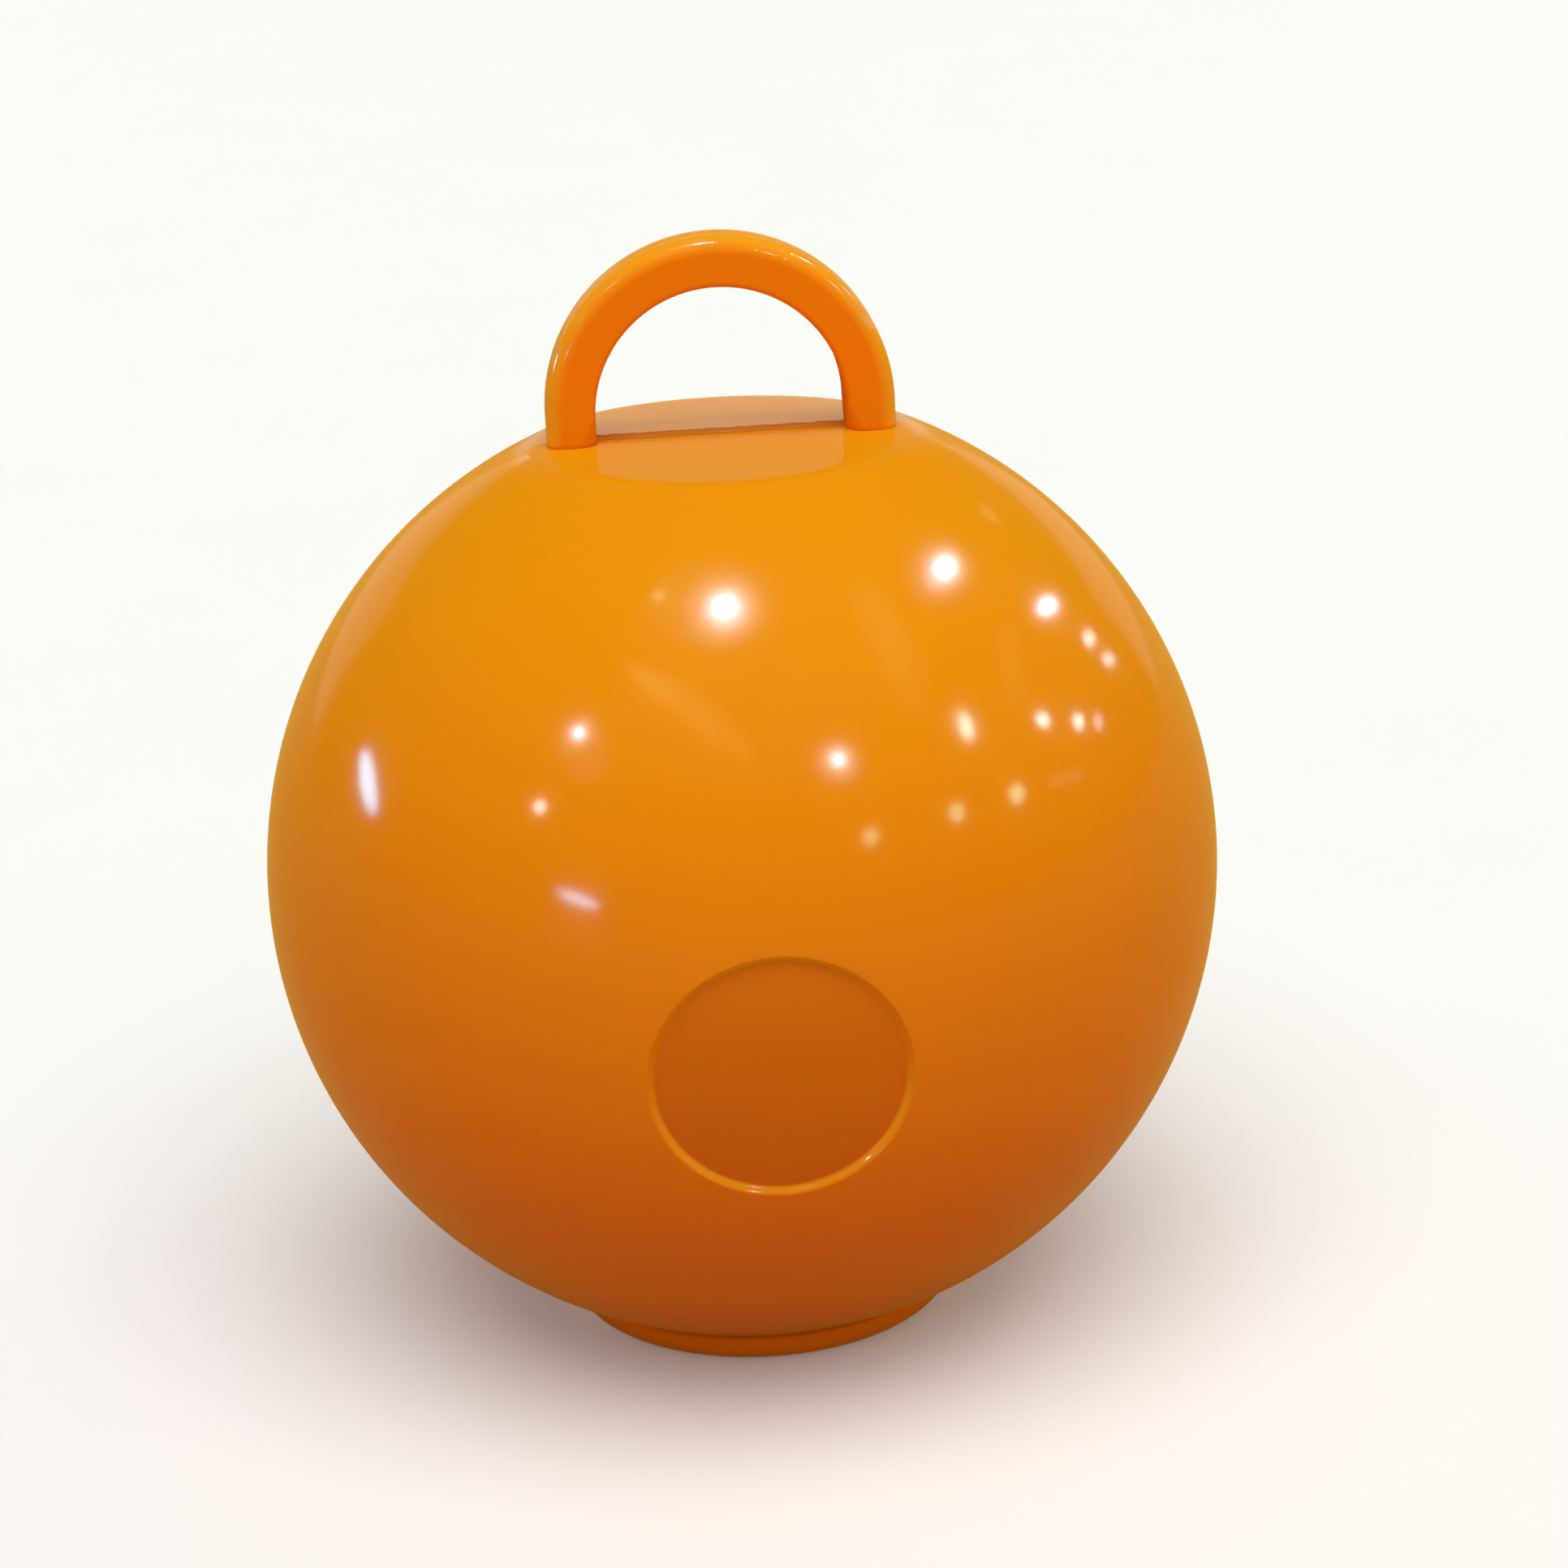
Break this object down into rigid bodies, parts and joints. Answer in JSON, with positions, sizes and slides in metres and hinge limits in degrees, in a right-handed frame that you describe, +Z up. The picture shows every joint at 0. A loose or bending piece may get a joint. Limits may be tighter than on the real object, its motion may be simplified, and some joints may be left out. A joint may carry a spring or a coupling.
{
  "type": "balloon weight",
  "caption": "Glossy plastic ball filled with sand that anchors balloon ribbons, with a loop on its flat crown, a bare round recess in front and a foot ring closed by a plug.",
  "frame": {"origin": "centre of the foot ring, on the surface that the weight stands on", "axes": "+Z up through the loop, the loop in the XZ plane, the badge recess facing -Y"},
  "size_m": [0.05, 0.0497, 0.0579],
  "materials": {
    "shell_plastic": "blow-moulded orange plastic, high gloss",
    "plug_plastic": "injection-moulded orange plastic, satin",
    "sand": "dry loose sand"
  },
  "bodies": {
    "root": {"ball_shell": "shell_plastic", "sand_ballast": "sand", "base_plug": "plug_plastic"}
  },
  "joints": []
}
